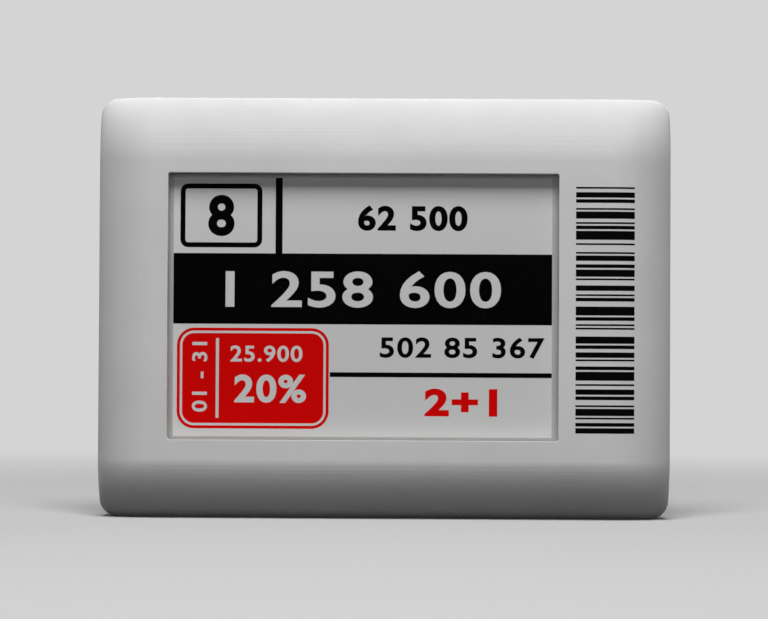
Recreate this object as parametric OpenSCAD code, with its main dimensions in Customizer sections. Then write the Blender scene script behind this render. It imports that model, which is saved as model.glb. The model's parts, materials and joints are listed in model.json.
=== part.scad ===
/* [Display] */
// Width of the picture on the electronic paper
picture_w = 57.3; // [56:0.1:60]
// Height of the picture
picture_h = 39.3; // [38.5:0.1:43]
// Plain border of the paper that shows round the picture
window_margin = 0.8; // [0.5:0.1:1]
// Corner radius of the window
window_r = 0.8; // [0.5:0.1:1.2]
// Panel glass past the picture on the left, top and bottom
panel_border = 3.1; // [2.8:0.1:3.3]
// Panel glass past the picture on the right, where the driver chip sits
ledge_w = 10.1; // [9.6:0.1:10.6]
// Thickness of the panel glass
glass_t = 0.5; // [0.4:0.05:0.7]

/* [Case] */
// Face left of the window
bezel_left = 10.75; // [10.5:0.25:13]
// Face right of the window, where the bar code is printed
bezel_right = 17.35; // [17.1:0.25:20]
// Face above and below the window
bezel_v = 11.55; // [11.3:0.25:14]
// Depth between the circuit board and the coin cells, which sets the depth of the case
contact_room = 1.8; // [1.8:0.1:3.6]
// Corner radius of the outline seen from the front
corner_r = 3; // [2.2:0.1:3.6]
// Width of the rounded crown round the face
crown_w = 8.8; // [8:0.1:9]
// How far the crown falls back at the sides
crown_d = 7.5; // [6.5:0.1:7.6]
// Wall of both covers
wall = 1.8; // [1.6:0.1:1.9]
// Depth of the rear cover behind the seam
rear_d = 4; // [3.8:0.1:4.4]

/* [Inside] */
// Thickness of the panel frame
frame_t = 1.2; // [1:0.1:1.3]
// Thickness of the circuit board
board_t = 1; // [0.8:0.1:1.1]
// Height of the frame's pads that carry the board
board_gap = 0.8; // [0.6:0.1:0.9]
// Width of the display's flat cable
flex_w = 12.5; // [10:0.5:13]

/* [Power] */
// Diameter of a coin cell
cell_dia = 24.5; // [23:0.5:24.5]
// Thickness of a coin cell
cell_t = 5; // [4.6:0.1:5]
// Gap between the two cells
cell_spacing = 1; // [1:0.1:1.5]
// Height of the case above the cells
cell_head = 6.25; // [6:0.05:6.6]
// Thickness of the battery door
door_t = 1.6; // [1.5:0.1:1.7]

/* [Back] */
// Thickness of the rear cover's back wall
back_t = 2.4; // [2.3:0.1:2.6]
// Distance of a rail slot's middle from the side of the case
rail_inset = 9; // [8.6:0.1:9.2]
// Width of a rail slot's mouth
rail_mouth_w = 5; // [4.6:0.1:5.4]
// Width of a rail slot under its lips
rail_slot_w = 8; // [7.4:0.1:8.2]
// Length of a rail slot
rail_slot_l = 30; // [26:1:31]
// Diameter of the wake button
button_dia = 4; // [3.6:0.1:4.2]
// Travel of the wake button
button_travel = 0.3; // [0.2:0.05:0.35]

/* [Hidden] */

// Facets on a full circle
$fn = 64;
// Steps of the crown from the face to the side
crown_steps = 9;
// Cuts run past the faces that they open
overrun = 0.5;
// Thin layer that a hull starts and ends on
skin = 0.02;
// Gap between pieces that slide or drop into each other
slip = 0.2;
// Gap round a piece that turns or travels in a bore
running = 0.08;

// Stack behind the face, by depth
gasket_t = 0.3;
film_t = 0.17;
film_gap = 0.03;
ink_t = 0.3;
tape_t = 0.2;
film_d = wall + gasket_t;
ink_d = film_d + film_t + film_gap;
glass_d = ink_d + ink_t;
frame_d = glass_d + glass_t + tape_t;
frame_back = frame_d + frame_t;
board_d = frame_back + board_gap;
board_back = board_d + board_t;
door_play = 0.3;
case_d = board_back + contact_room + cell_t + door_play + door_t;
front_y = -case_d / 2;

// Case
window_w = picture_w + 2 * window_margin;
window_h = picture_h + 2 * window_margin;
case_w = bezel_left + window_w + bezel_right;
case_h = window_h + 2 * bezel_v;
seam_d = case_d - rear_d;
inner_corner_r = max(corner_r - wall, wall / 3);
// Step round the rear cover that shows as a fine line at the seam
seam_line_t = 0.3;
seam_line_w = 0.2;
// Chamfer round the back
back_edge = 0.6;
back_wall_d = case_d - back_t;

// Screw posts in the corners of the case
post_inset = 5.9;
post_r = 2.3;
cover_screw_r = 1;
cover_head_r = 1.8;
cover_head_t = 1.2;
// How far the screw heads lie below the back
head_sink = 0.4;
cover_screw_l = 7.5;
thread_gap = 0.02;

// Panel, seen from the front
picture_x = (bezel_left - bezel_right) / 2;
picture_z = case_h / 2;
picture = [
    picture_x - picture_w / 2, picture_x + picture_w / 2,
    picture_z - picture_h / 2, picture_z + picture_h / 2
];
window = grow(picture, window_margin);
gasket_w = 1.1;
gasket_setback = 0.3;
ink_inset = 0.3;
tape_w = 12;
film_box = grow(window, gasket_setback + gasket_w);
glass = [
    picture[0] - panel_border, picture[1] + ledge_w,
    picture[2] - panel_border, picture[3] + panel_border
];
driver_w = 1.4;
driver_l = 19;
driver_t = 0.3;
driver_x = (film_box[1] + glass[1]) / 2 - driver_w;

// Panel frame and board
frame_lip = 1.8;
frame_corner_r = 4;
frame = grow(glass, frame_lip);
rib_t = 2;
rib_inset_x = 16;
rib_inset_z = 10;
board_margin = 0.8;
board = grow(glass, board_margin);
board_corner_r = 1;
board_screw_inset = 2.8;
board_screw_r = 0.8;
board_head_r = 1.5;
board_head_t = 0.9;
board_pad_r = 2;
clamp_post_r = 1.8;
clamp_post_x = 2;
clamp_post_z = 9;

// Width that the cells take up
cell_r = cell_dia / 2;
cell_pitch = cell_dia + cell_spacing;
cell_play = 0.2;
cradle_wall = 1.2;

// Flat cable and its connector
flex_t = 0.12;
flex_bond = 2.2;
flex_bend_x = board[1] + slip;
flex_z = picture_z;
stiffener_t = 0.2;
stiffener_l = 4.4;
connector_gap = 0.6;
connector_x = cell_pitch / 2 + cell_r + cell_play + cradle_wall + connector_gap;
connector_w = 4;
connector_end = 2.25;
connector_l = flex_w + 2 * connector_end;
connector_t = 1.7;
connector_base_t = 0.54;
cheek_t = 0.9;
mouth_x = connector_x + 0.53 * connector_w;
contact_x = connector_x + 0.3 * connector_w;
flex_back_d = board_back + connector_base_t + slip / 4;
latch_t = 0.4;
latch_pivot_r = 0.25;
latch_pin_r = 0.15;
latch_d = flex_back_d + flex_t + stiffener_t + slip / 2 + latch_t / 2 + running;
latch_x = mouth_x + latch_pivot_r + slip;

// Cells and their cradle, by depth behind the face
cell_back = case_d - door_t - door_play;
cell_front = cell_back - cell_t;
cell_z = case_h - cell_head - cell_r;
can_t = 0.3;
can_lip = 1.2;
seal_t = 0.5;
cap_r = cell_r - can_lip - seal_t;
cap_rise = 0.5;
cradle_floor_t = 0.7;
cradle_ledge = 3.05;
cradle_hole_r = cell_r - cradle_ledge;
cradle_corner_r = 3;
cradle_top_d = back_wall_d - slip;
cradle = [
    -cell_pitch / 2 - cell_r - cell_play - cradle_wall, cell_pitch / 2 + cell_r + cell_play + cradle_wall,
    cell_z - cell_r - cell_play - cradle_wall, cell_z + cell_r + cell_play + cradle_wall
];
foot_r = 1.8;
peg_r = 0.75;
foot_inset = 2.6;
contact_t = 0.2;
negative_w = 5;
negative_l = 11;
positive_w = 6;
positive_foot = 2.4;

// Battery door and its grooves
door_margin = 2;
tongue_w = 1;
tongue_t = 0.7;
groove_gap = 0.15;
door = [
    -cell_pitch / 2 - cell_r - door_margin, cell_pitch / 2 + cell_r + door_margin,
    cell_z - cell_r - door_margin, case_h
];
door_d = case_d - door_t;
grip_w = 0.9;
grip_l = 16;
grip_pitch = 2.2;
grip_count = 5;
grip_sink = 0.4;
cell_opening_gap = 0.6;

// Rail slots in the back
rail_pitch = case_w - 2 * rail_inset;
rail_slot_d = 2.6;
rail_lip_t = 1.2;
rail_floor_t = 1;
rail_wall_t = 1;
rail_z0 = 14;
rail_entry_l = 8.4;

// Lip of the rear cover that stands inside the front cover
lip_t = 1;
lip_l = 1.6;
lip_gap = 0.15;
lip_end = 14;

// Wake button and its switch
button_inset = 12.85;
button_drop = 8.85;
button_x = board[0] + button_inset;
button_z = cradle[2] - button_drop;
button_r = button_dia / 2;
button_sink = 0.4;
flange_w = 0.9;
flange_t = 0.6;
stem_r = 1;
switch_w = 4.5;
switch_t = 2.3;
plunger_r = 1.1;
plunger_rise = 0.8;
plunger_seat = 0.4;
collar_t = 1;
collar_l = 0.5;

// Parts on the back of the board
shield_shares = [0.30305, 0.5527];
shield_rise = 6.05;
shield_drop = 3.35;
shield = [
    board[0] + shield_shares[0] * (board[1] - board[0]), board[0] + shield_shares[1] * (board[1] - board[0]),
    board[2] + shield_rise, cradle[2] - shield_drop
];
shield_h = 1.9;
shield_t = 0.2;
processor_share = 0.42857;
processor_w = processor_share * (shield[3] - shield[2]);
processor_t = 0.9;
crystal_t = 0.7;
flash_w = 5.2;
flash_l = 4;
flash_t = 1.4;
lead_w = 0.42;
lead_l = 0.9;
lead_t = 0.5;
lead_pitch = 1.27;
inductor_w = 4;
inductor_t = 1.8;
transistor_w = 1.4;
transistor_l = 2.9;
transistor_t = 1;
diode_w = 1.6;
diode_l = 2.8;
diode_t = 1;
capacitor_w = 1.25;
capacitor_l = 2;
capacitor_t = 0.9;
resistor_w = 0.8;
resistor_l = 1.6;
resistor_t = 0.45;
trace_w = 0.6;
trace_t = 0.05;
trace_h = 4;
trace_pitch = 1.6;
trace_turns = 8;
antenna_inset = 8.85;
antenna_margin = 0.95;
antenna_x = board[0] + antenna_inset;
antenna_z = board[2] + antenna_margin;
power_inset = 9.25;
power_x = board[1] - power_inset;
row_shares = [0.4295, 0.7329];
capacitor_step_share = 0.1087;
capacitor_step = capacitor_step_share * (power_x - shield[1]);
resistor_step_share = 0.06957;
resistor_step = resistor_step_share * (power_x - shield[1]);
capacitor_row_z = board[2] + row_shares[0] * (cradle[2] - board[2]);
flash_z = board[2] + row_shares[1] * (cradle[2] - board[2]);
row_gap = 0.6;
pad_r = 0.6;
pad_pitch = 2.2;
pad_count = 6;
pads_inset = 22;
pads_margin = 2.15;
pads_x = power_x - pads_inset;
pads_z = board[2] + pads_margin;

// A box seen from the front is [left, right, bottom, top].
function grow(box, by) = [box[0] - by, box[1] + by, box[2] - by, box[3] + by];
function middle(box) = [(box[0] + box[1]) / 2, (box[2] + box[3]) / 2];
function around(x, z, w, h) = [x - w / 2, x + w / 2, z - h / 2, z + h / 2];

// Extrudes an outline drawn as seen from the front between two depths
module slab(d0, d1) {
    translate([0, front_y + d1, 0]) rotate([90, 0, 0]) linear_extrude(d1 - d0) children();
}

module sheet(box, r = 0) {
    if (r == 0) {
        translate([box[0], box[2]]) square([box[1] - box[0], box[3] - box[2]]);
    } else {
        translate([box[0] + r, box[2]]) square([box[1] - box[0] - 2 * r, box[3] - box[2]]);
        translate([box[0], box[2] + r]) square([box[1] - box[0], box[3] - box[2] - 2 * r]);
        for (x = [box[0] + r, box[1] - r], z = [box[2] + r, box[3] - r])
            translate([x, z]) circle(r);
    }
}

module plate(box, d0, d1, r = 0) {
    slab(d0, d1) sheet(box, r);
}

// A slot with round ends, long from left to right
module round_slot(x, z, l, w, d0, d1) {
    slab(d0, d1) {
        translate([x - (l - w) / 2, z - w / 2]) square([l - w, w]);
        for (end = [-1, 1]) translate([x + end * (l - w) / 2, z]) circle(w / 2);
    }
}

module rod(x, z, d0, d1, r) {
    translate([x, front_y + d1, z]) rotate([90, 0, 0]) cylinder(h = d1 - d0, r = r);
}

// Turns a profile of [radius, depth] points about an axis from front to back
module turned(x, z) {
    translate([x, front_y, z]) rotate([-90, 0, 0]) rotate_extrude() children();
}

module outline(inset, r) {
    sheet([-case_w / 2 + inset, case_w / 2 - inset, inset, case_h - inset], r);
}

// Stations across the case, each [place, how far the crown falls there]
function crown_arc(a, b) = [
    for (i = [0 : crown_steps]) [a * (1 - cos(90 * i / crown_steps)), b * (1 - sin(90 * i / crown_steps))]
];
function crown_stations(low, high, a, b) = concat(
    [for (p = crown_arc(a, b)) [low + p[0], p[1]]],
    [for (i = [crown_steps : -1 : 0]) let (p = crown_arc(a, b)[i]) [high - p[0], p[1]]]
);

// The pillow-shaped front, where the falls of the two directions add up at the corners
module crown_block(inset) {
    a = crown_w - inset;
    b = crown_d - inset;
    xs = crown_stations(-case_w / 2 + inset, case_w / 2 - inset, a, b);
    zs = crown_stations(inset, case_h - inset, a, b);
    n = len(xs);
    m = len(zs);
    back = front_y + 2 * crown_d + overrun;
    points = concat(
        [for (x = xs, z = zs) [x[0], front_y + inset + x[1] + z[1], z[0]]],
        [for (x = [xs[0], xs[n - 1]], z = [zs[0], zs[m - 1]]) [x[0], back, z[0]]]
    );
    faces = concat(
        [for (i = [0 : n - 2], j = [0 : m - 2]) [i * m + j, i * m + j + 1, (i + 1) * m + j + 1, (i + 1) * m + j]],
        [[n * m, n * m + 2, n * m + 3, n * m + 1]],
        [concat([0, n * m, n * m + 1], [for (j = [m - 1 : -1 : 1]) j])],
        [concat([for (j = [0 : m - 1]) (n - 1) * m + j], [n * m + 3, n * m + 2])],
        [concat([for (i = [0 : n - 1]) i * m], [n * m + 2, n * m])],
        [concat([for (i = [n - 1 : -1 : 0]) i * m + m - 1], [n * m + 1, n * m + 3])]
    );
    polyhedron(points = points, faces = faces, convexity = 4);
}

module at_case_posts() {
    for (x = [-case_w / 2 + post_inset, case_w / 2 - post_inset], z = [post_inset, case_h - post_inset])
        translate([x, 0, z]) children();
}

// Ribs that hold the panel frame in place inside the front cover
module frame_ribs() {
    rib_top = case_h - wall / 2;
    rib_side = case_w / 2 - wall / 2;
    for (x = [frame[0] + rib_inset_x, frame[1] - rib_inset_x]) {
        plate([x - rib_t / 2, x + rib_t / 2, wall / 2, frame[2] - slip], 0, frame_back);
        plate([x - rib_t / 2, x + rib_t / 2, frame[3] + slip, rib_top], 0, frame_back);
    }
    for (z = [frame[2] + rib_inset_z, frame[3] - rib_inset_z]) {
        plate([-rib_side, frame[0] - slip, z - rib_t / 2, z + rib_t / 2], 0, frame_back);
        plate([frame[1] + slip, rib_side, z - rib_t / 2, z + rib_t / 2], 0, frame_back);
    }
}

module front_cover() {
    color("white") difference() {
        intersection() {
            crown_block(0);
            union() {
                difference() {
                    slab(0, seam_d) outline(0, corner_r);
                    intersection() {
                        crown_block(wall);
                        slab(0, seam_d + overrun) outline(wall, inner_corner_r);
                    }
                }
                at_case_posts() rod(0, 0, 0, seam_d, post_r);
                frame_ribs();
            }
        }
        plate(window, -overrun, wall + overrun, window_r);
        at_case_posts() rod(0, 0, case_d - head_sink - cover_head_t - cover_screw_l, seam_d + overrun, cover_screw_r);
    }
}

// Outer form of the rear cover, with its seam line and its chamfered back edge
module rear_form() {
    slab(seam_d, seam_d + seam_line_t) outline(seam_line_w, corner_r - seam_line_w);
    slab(seam_d + seam_line_t, case_d - back_edge) outline(0, corner_r);
    hull() {
        slab(case_d - back_edge - skin, case_d - back_edge) outline(0, corner_r);
        slab(case_d - skin, case_d) outline(back_edge, corner_r - back_edge);
    }
}

module lip_bar(box, foot_box) {
    plate(box, seam_d - lip_l, back_wall_d + back_t / 4);
    plate(foot_box, seam_d + seam_line_t, back_wall_d + back_t / 4);
}

module rear_lips() {
    out_x = case_w / 2 - wall - lip_gap;
    out_z = case_h - wall - lip_gap;
    end_x = case_w / 2 - lip_end;
    for (side = [-1, 1]) {
        near = side * out_x;
        far = side * (out_x - lip_t);
        root = side * (case_w / 2 - wall / 2);
        lip_bar([min(near, far), max(near, far), lip_end, case_h - lip_end],
            [min(root, far), max(root, far), lip_end, case_h - lip_end]);
    }
    lip_bar([-end_x, end_x, out_z - lip_t, out_z], [-end_x, end_x, out_z - lip_t, case_h - wall / 2]);
    lip_bar([-end_x, end_x, case_h - out_z, case_h - out_z + lip_t], [-end_x, end_x, wall / 2, case_h - out_z + lip_t]);
}

module at_clamp_posts() {
    for (x = [board[0] + clamp_post_x, board[1] - clamp_post_x], z = [board[2] + clamp_post_z, board[3] - clamp_post_z])
        translate([x, 0, z]) children();
}

module rail_slot(x) {
    lip_d = case_d - rail_lip_t;
    top = rail_z0 + rail_slot_l;
    plate([x - rail_mouth_w / 2, x + rail_mouth_w / 2, rail_z0, top], lip_d - overrun, case_d + overrun);
    plate([x - rail_slot_w / 2, x + rail_slot_w / 2, rail_z0, top], case_d - rail_slot_d, lip_d);
    plate(around(x, rail_z0 + rail_entry_l / 2, rail_slot_w, rail_entry_l), case_d - rail_slot_d, case_d + overrun);
}

module door_recess() {
    mouth = grow(door, slip / 2);
    groove = grow(door, tongue_w + slip / 2);
    groove_top = door_d + tongue_t + groove_gap;
    above = case_h + overrun;
    plate([mouth[0], mouth[1], mouth[2], above], groove_top - groove_gap, case_d + overrun);
    plate([groove[0], groove[1], groove[2], above], door_d - groove_gap, groove_top);
    round_slot(0, cell_z, cell_pitch + cell_dia + 2 * cell_opening_gap, cell_dia + 2 * cell_opening_gap,
        back_wall_d - overrun, door_d);
}

module rear_cover() {
    pad_d = case_d - rail_slot_d - rail_floor_t;
    rail_middle = rail_z0 + rail_slot_l / 2;
    color("whitesmoke") difference() {
        union() {
            difference() {
                rear_form();
                slab(seam_d - overrun, back_wall_d) outline(wall, inner_corner_r);
            }
            rear_lips();
            at_case_posts() rod(0, 0, seam_d, back_wall_d + back_t / 4, post_r);
            at_clamp_posts() rod(0, 0, board_back, back_wall_d + back_t / 4, clamp_post_r);
            for (x = [-rail_pitch / 2, rail_pitch / 2])
                plate(grow(around(x, rail_middle, rail_slot_w, rail_slot_l), rail_wall_t), pad_d, back_wall_d + back_t / 4);
            rod(button_x, button_z, back_wall_d - collar_l, back_wall_d + back_t / 4, button_r + flange_w + collar_t);
        }
        door_recess();
        for (x = [-rail_pitch / 2, rail_pitch / 2]) rail_slot(x);
        at_case_posts() {
            rod(0, 0, seam_d - overrun, case_d + overrun, cover_screw_r + slip / 2);
            rod(0, 0, case_d - head_sink - cover_head_t, case_d + overrun, cover_head_r + slip);
        }
        rod(button_x, button_z, back_wall_d - overrun, case_d + overrun, button_r + running);
        rod(button_x, button_z, back_wall_d - collar_l - overrun, back_wall_d, button_r + flange_w + slip);
    }
}

module battery_door() {
    tongues = [door[0] - tongue_w, door[1] + tongue_w, door[2] - tongue_w, door[3]];
    color("whitesmoke") difference() {
        intersection() {
            rear_form();
            union() {
                plate(tongues, door_d, door_d + tongue_t);
                plate(door, door_d, case_d + overrun);
            }
        }
        for (i = [0 : grip_count - 1])
            round_slot(0, door[2] + grip_pitch * (i + 1.5), grip_l, grip_w, case_d - grip_sink, case_d + overrun);
    }
}

module screw(tip, seat, shank_r, head_r, head_t) {
    difference() {
        union() {
            rod(0, 0, tip, seat, shank_r);
            rod(0, 0, seat, seat + head_t, head_r);
        }
        for (turn = [0, 90])
            translate([0, front_y + seat + head_t, 0]) rotate([0, turn, 0])
                cube([head_r * 1.2, head_t, head_r / 4], center = true);
    }
}

module cover_screws() {
    seat = case_d - head_sink - cover_head_t;
    color("silver") at_case_posts()
        screw(seat - cover_screw_l + thread_gap, seat, cover_screw_r - thread_gap, cover_head_r, cover_head_t);
}

module display_gasket() {
    color("dimgray") difference() {
        plate(film_box, wall, film_d, window_r);
        plate(grow(window, gasket_setback), wall - overrun, film_d + overrun, window_r);
    }
}

module protective_film() {
    color([0.9, 0.92, 0.93, 0.3]) plate(film_box, film_d, film_d + film_t);
}

module ink_film() {
    color("lightgray") plate(grow(film_box, -ink_inset), ink_d, glass_d);
}

module display_glass() {
    color("lightsteelblue") plate(glass, glass_d, glass_d + glass_t);
}

module driver_chip() {
    color("dimgray") plate(around(driver_x, flex_z, driver_w, driver_l), glass_d - driver_t, glass_d);
}

// The flat cable leaves the glass, turns round the board's edge and comes back behind it.
module display_flex() {
    front_mid = glass_d - flex_t / 2;
    back_mid = flex_back_d + flex_t / 2;
    bend_r = (back_mid - front_mid) / 2;
    bend_mid = (back_mid + front_mid) / 2;
    z0 = flex_z - flex_w / 2;
    color("darkorange") {
        plate([glass[1] - flex_bond, flex_bend_x, z0, z0 + flex_w], front_mid - flex_t / 2, front_mid + flex_t / 2);
        plate([contact_x, flex_bend_x, z0, z0 + flex_w], back_mid - flex_t / 2, back_mid + flex_t / 2);
        translate([flex_bend_x, front_y + bend_mid, z0]) rotate([0, 0, -90]) rotate_extrude(angle = 180)
            translate([bend_r - flex_t / 2, 0]) square([flex_t, flex_w]);
    }
}

module flex_stiffener() {
    color("royalblue") plate(around(contact_x + stiffener_l / 2, flex_z, stiffener_l, flex_w),
        flex_back_d + flex_t, flex_back_d + flex_t + stiffener_t);
}

module panel_tape() {
    color("gold") for (x = [glass[0] + tape_w, glass[1] - tape_w])
        plate(around(x, picture_z, tape_w, glass[3] - glass[2] - 2 * frame_lip), glass_d + glass_t, frame_d);
}

module at_board_screws() {
    place = grow(board, -board_screw_inset);
    for (x = [place[0], place[1]], z = [place[2], place[3]]) translate([x, 0, z]) children();
}

module panel_frame() {
    seat = grow(glass, slip);
    notch_h = flex_w + 2 * frame_lip;
    color("gainsboro") difference() {
        union() {
            plate(frame, glass_d, frame_back, frame_corner_r);
            at_board_screws() rod(0, 0, frame_back - frame_t / 2, board_d, board_pad_r);
        }
        plate(seat, glass_d - overrun, frame_d);
        plate(around(frame[1], flex_z, 2 * frame_lip, notch_h), glass_d - overrun, frame_d);
        at_board_screws() rod(0, 0, frame_d + frame_t / 4, board_d + overrun, board_screw_r);
    }
}

module board_screws() {
    color("silver") at_board_screws()
        screw(frame_d + frame_t / 4 + thread_gap, board_back, board_screw_r - thread_gap, board_head_r, board_head_t);
}

module at_cradle_feet() {
    for (x = [cradle[0] + foot_inset, cradle[1] - foot_inset], z = [cradle[2] + foot_inset, board[3] - foot_inset])
        translate([x, 0, z]) children();
}

module main_board() {
    color("darkgreen") difference() {
        plate(board, board_d, board_back, board_corner_r);
        at_board_screws() rod(0, 0, board_d - overrun, board_back + overrun, board_screw_r + slip);
        at_cradle_feet() rod(0, 0, board_d - overrun, board_back + overrun, peg_r + slip / 2);
    }
}

module flex_connector() {
    top = board_back + connector_t;
    half = connector_l / 2;
    slot_z = flex_w / 2 + slip / 2;
    slot_top = flex_back_d + flex_t + stiffener_t + slip / 4;
    color("beige") difference() {
        plate([connector_x, connector_x + connector_w, flex_z - half, flex_z + half], board_back, top);
        plate([contact_x - slip, connector_x + connector_w + overrun, flex_z - slot_z, flex_z + slot_z],
            board_back + connector_base_t, slot_top);
        plate([mouth_x, connector_x + connector_w + overrun, flex_z - half + cheek_t, flex_z + half - cheek_t],
            slot_top - slip / 4, top + overrun);
        translate([latch_x, front_y + latch_d, flex_z - half - overrun]) cylinder(h = connector_l + 2 * overrun, r = latch_pin_r + running);
    }
}

module connector_latch() {
    half = connector_l / 2 - cheek_t - slip;
    end_x = connector_x + connector_w;
    pin_l = 2 * (half + slip + cheek_t * 0.8);
    color("saddlebrown") {
        plate([latch_x, end_x, flex_z - half, flex_z + half], latch_d - latch_t / 2, latch_d + latch_t / 2);
        translate([latch_x, front_y + latch_d, flex_z - half]) cylinder(h = 2 * half, r = latch_pivot_r);
        translate([latch_x, front_y + latch_d, flex_z - pin_l / 2]) cylinder(h = pin_l, r = latch_pin_r);
    }
}

module on_board(box, t) {
    plate(box, board_back, board_back + t);
}

module radio_shield() {
    color("silver") difference() {
        on_board(shield, shield_h);
        plate(grow(shield, -shield_t), board_back - overrun, board_back + shield_h - shield_t);
    }
}

module processor_chip() {
    at = middle(shield);
    color("dimgray") on_board(around(at[0] - processor_w / 3, at[1], processor_w, processor_w), processor_t);
}

module crystals() {
    at = middle(shield);
    color("silver") for (side = [-1, 1])
        on_board(around(at[0] + processor_w * 0.7, at[1] + side * processor_w * 0.45, processor_w * 0.4, processor_w * 0.5), crystal_t);
}

module flash_chip() {
    x = shield[1] + flash_w + lead_l;
    color("dimgray") {
        on_board(around(x, flash_z, flash_w, flash_l), flash_t);
        for (i = [-1.5 : 1.5], side = [-1, 1])
            on_board(around(x + i * lead_pitch, flash_z + side * (flash_l + lead_l) / 2, lead_w, lead_l), lead_t);
    }
}

module boost_inductor() {
    color("darkslategray") on_board(around(power_x - inductor_w, shield[2] + inductor_w / 2, inductor_w, inductor_w), inductor_t);
}

module boost_transistor() {
    x = power_x + transistor_l / 2;
    z = shield[2] + transistor_w;
    color("dimgray") {
        on_board(around(x, z, transistor_l, transistor_w), transistor_t);
        for (i = [-1, 1])
            on_board(around(x + i * transistor_l / 3, z - (transistor_w + lead_w) / 2, lead_w, lead_w), lead_t);
        on_board(around(x, z + (transistor_w + lead_w) / 2, lead_w, lead_w), lead_t);
    }
}

module boost_diodes() {
    color("dimgray") for (i = [0 : 2])
        on_board(around(power_x - inductor_w - i * 1.6 * diode_w, shield[2] - diode_l / 1.4, diode_w, diode_l), diode_t);
}

module ceramic_capacitors() {
    top = cradle[2] - capacitor_l;
    color("tan") {
        for (i = [0 : 5])
            on_board(around(shield[1] + (i + 0.75) * capacitor_step, capacitor_row_z, capacitor_w, capacitor_l), capacitor_t);
        for (i = [0 : 3])
            on_board(around(connector_x - (i + 1) * 1.7 * capacitor_w, top, capacitor_w, capacitor_l), capacitor_t);
        for (i = [0 : 3])
            on_board(around(shield[0] - capacitor_w, shield[2] + (i + 0.5) * 1.3 * capacitor_l, capacitor_w, capacitor_l), capacitor_t);
    }
}

module resistors() {
    row_z = capacitor_row_z - row_gap - (capacitor_l + resistor_l) / 2;
    color("black") for (i = [0 : 7])
        on_board(around(shield[1] + (i + 1) * resistor_step, row_z, resistor_w, resistor_l), resistor_t);
}

// The antenna is a copper meander along the bottom edge of the board.
module antenna_trace() {
    length = trace_turns * trace_pitch;
    color("goldenrod") for (i = [0 : trace_turns]) {
        x = antenna_x + i * trace_pitch;
        level = i % 2 == 0 ? antenna_z : antenna_z + trace_h - trace_w;
        on_board([x, x + trace_w, antenna_z, antenna_z + trace_h], trace_t);
        if (i < trace_turns) on_board([x, x + trace_pitch + trace_w, level, level + trace_w], trace_t);
    }
}

module debug_pads() {
    color("gold") for (i = [0 : pad_count - 1])
        rod(pads_x + i * pad_pitch, pads_z, board_back, board_back + trace_t, pad_r);
}

module switch_body() {
    color("dimgray") difference() {
        on_board(around(button_x, button_z, switch_w, switch_w), switch_t);
        rod(button_x, button_z, board_back + switch_t - plunger_seat - 2 * button_travel,
            board_back + switch_t + overrun, plunger_r + running);
    }
}

module switch_plunger() {
    top = board_back + switch_t;
    color("black") rod(button_x, button_z, top - plunger_seat, top + plunger_rise, plunger_r);
}

module wake_button() {
    flange_d = back_wall_d - running;
    color("lightgray") turned(button_x, button_z) polygon([
        [0, board_back + switch_t + plunger_rise], [stem_r, board_back + switch_t + plunger_rise],
        [stem_r, flange_d - flange_t], [button_r + flange_w, flange_d - flange_t],
        [button_r + flange_w, flange_d], [button_r, flange_d],
        [button_r, case_d - button_sink - flange_t / 2], [button_r - flange_t / 2, case_d - button_sink],
        [0, case_d - button_sink]
    ]);
}

module at_cells() {
    for (x = [-cell_pitch / 2, cell_pitch / 2]) translate([x, 0, cell_z]) children();
}

module cell_cradle() {
    floor_d = cell_front - cradle_floor_t;
    color("dimgray") difference() {
        union() {
            plate(cradle, floor_d, cradle_top_d, cradle_corner_r);
            at_cradle_feet() {
                rod(0, 0, board_back, floor_d + cradle_floor_t / 2, foot_r);
                rod(0, 0, board_d, board_back + skin, peg_r);
            }
        }
        at_cells() {
            rod(0, 0, cell_front, cradle_top_d + overrun, cell_r + cell_play);
            rod(0, 0, floor_d - overrun, cell_front + overrun, cradle_hole_r);
            plate(around(0, -cell_r, positive_w + 2 * slip, 2 * (cradle_wall + cell_play) + slip), floor_d - overrun, cradle_top_d + overrun);
        }
    }
}

// A leaf under each cell springs up to touch its cap.
module negative_contacts() {
    top = cell_front - thread_gap;
    half = negative_l / 2;
    color("gold") at_cells() translate([0, front_y, -negative_w / 2]) linear_extrude(negative_w) polygon([
        [-half, board_back], [half, board_back], [half, board_back + contact_t],
        [-half / 2, board_back + contact_t], [half / 4, top - contact_t], [half / 2, top - 2 * contact_t],
        [half / 2 + contact_t, top - contact_t], [half / 4, top], [0, top],
        [-half / 2 - contact_t, board_back + 2 * contact_t], [-half, board_back + contact_t]
    ]);
}

// A leaf at the lower side of each cell touches its can.
module positive_contacts() {
    near = -cell_r - thread_gap;
    top = cell_back - cell_t / 3;
    color("gold") at_cells() {
        plate([-positive_w / 2, positive_w / 2, near - contact_t, near], board_back, top);
        plate([-positive_w / 2, positive_w / 2, near - positive_foot, near - contact_t / 2], board_back, board_back + contact_t);
    }
}

// A can is the open cup whose flat side is the plus pole; its rim is rolled over the seal.
module cell_can(x) {
    color("silver") turned(x, cell_z) polygon([
        [0, cell_back], [cell_r - can_t, cell_back], [cell_r, cell_back - can_t],
        [cell_r, cell_front + cap_rise + can_t], [cell_r - can_t, cell_front + cap_rise],
        [cell_r - can_lip, cell_front + cap_rise], [cell_r - can_lip, cell_front + cap_rise + can_t],
        [cell_r - can_t, cell_front + cap_rise + can_t],
        [cell_r - can_t, cell_back - can_t], [0, cell_back - can_t]
    ]);
}

module cell_cap(x) {
    deep = cell_front + cell_t / 2;
    color("lightgray") turned(x, cell_z) polygon([
        [0, cell_front], [cap_r - can_t, cell_front], [cap_r, cell_front + can_t], [cap_r, deep],
        [cap_r - can_t, deep], [cap_r - can_t, cell_front + can_t], [0, cell_front + can_t]
    ]);
}

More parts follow.
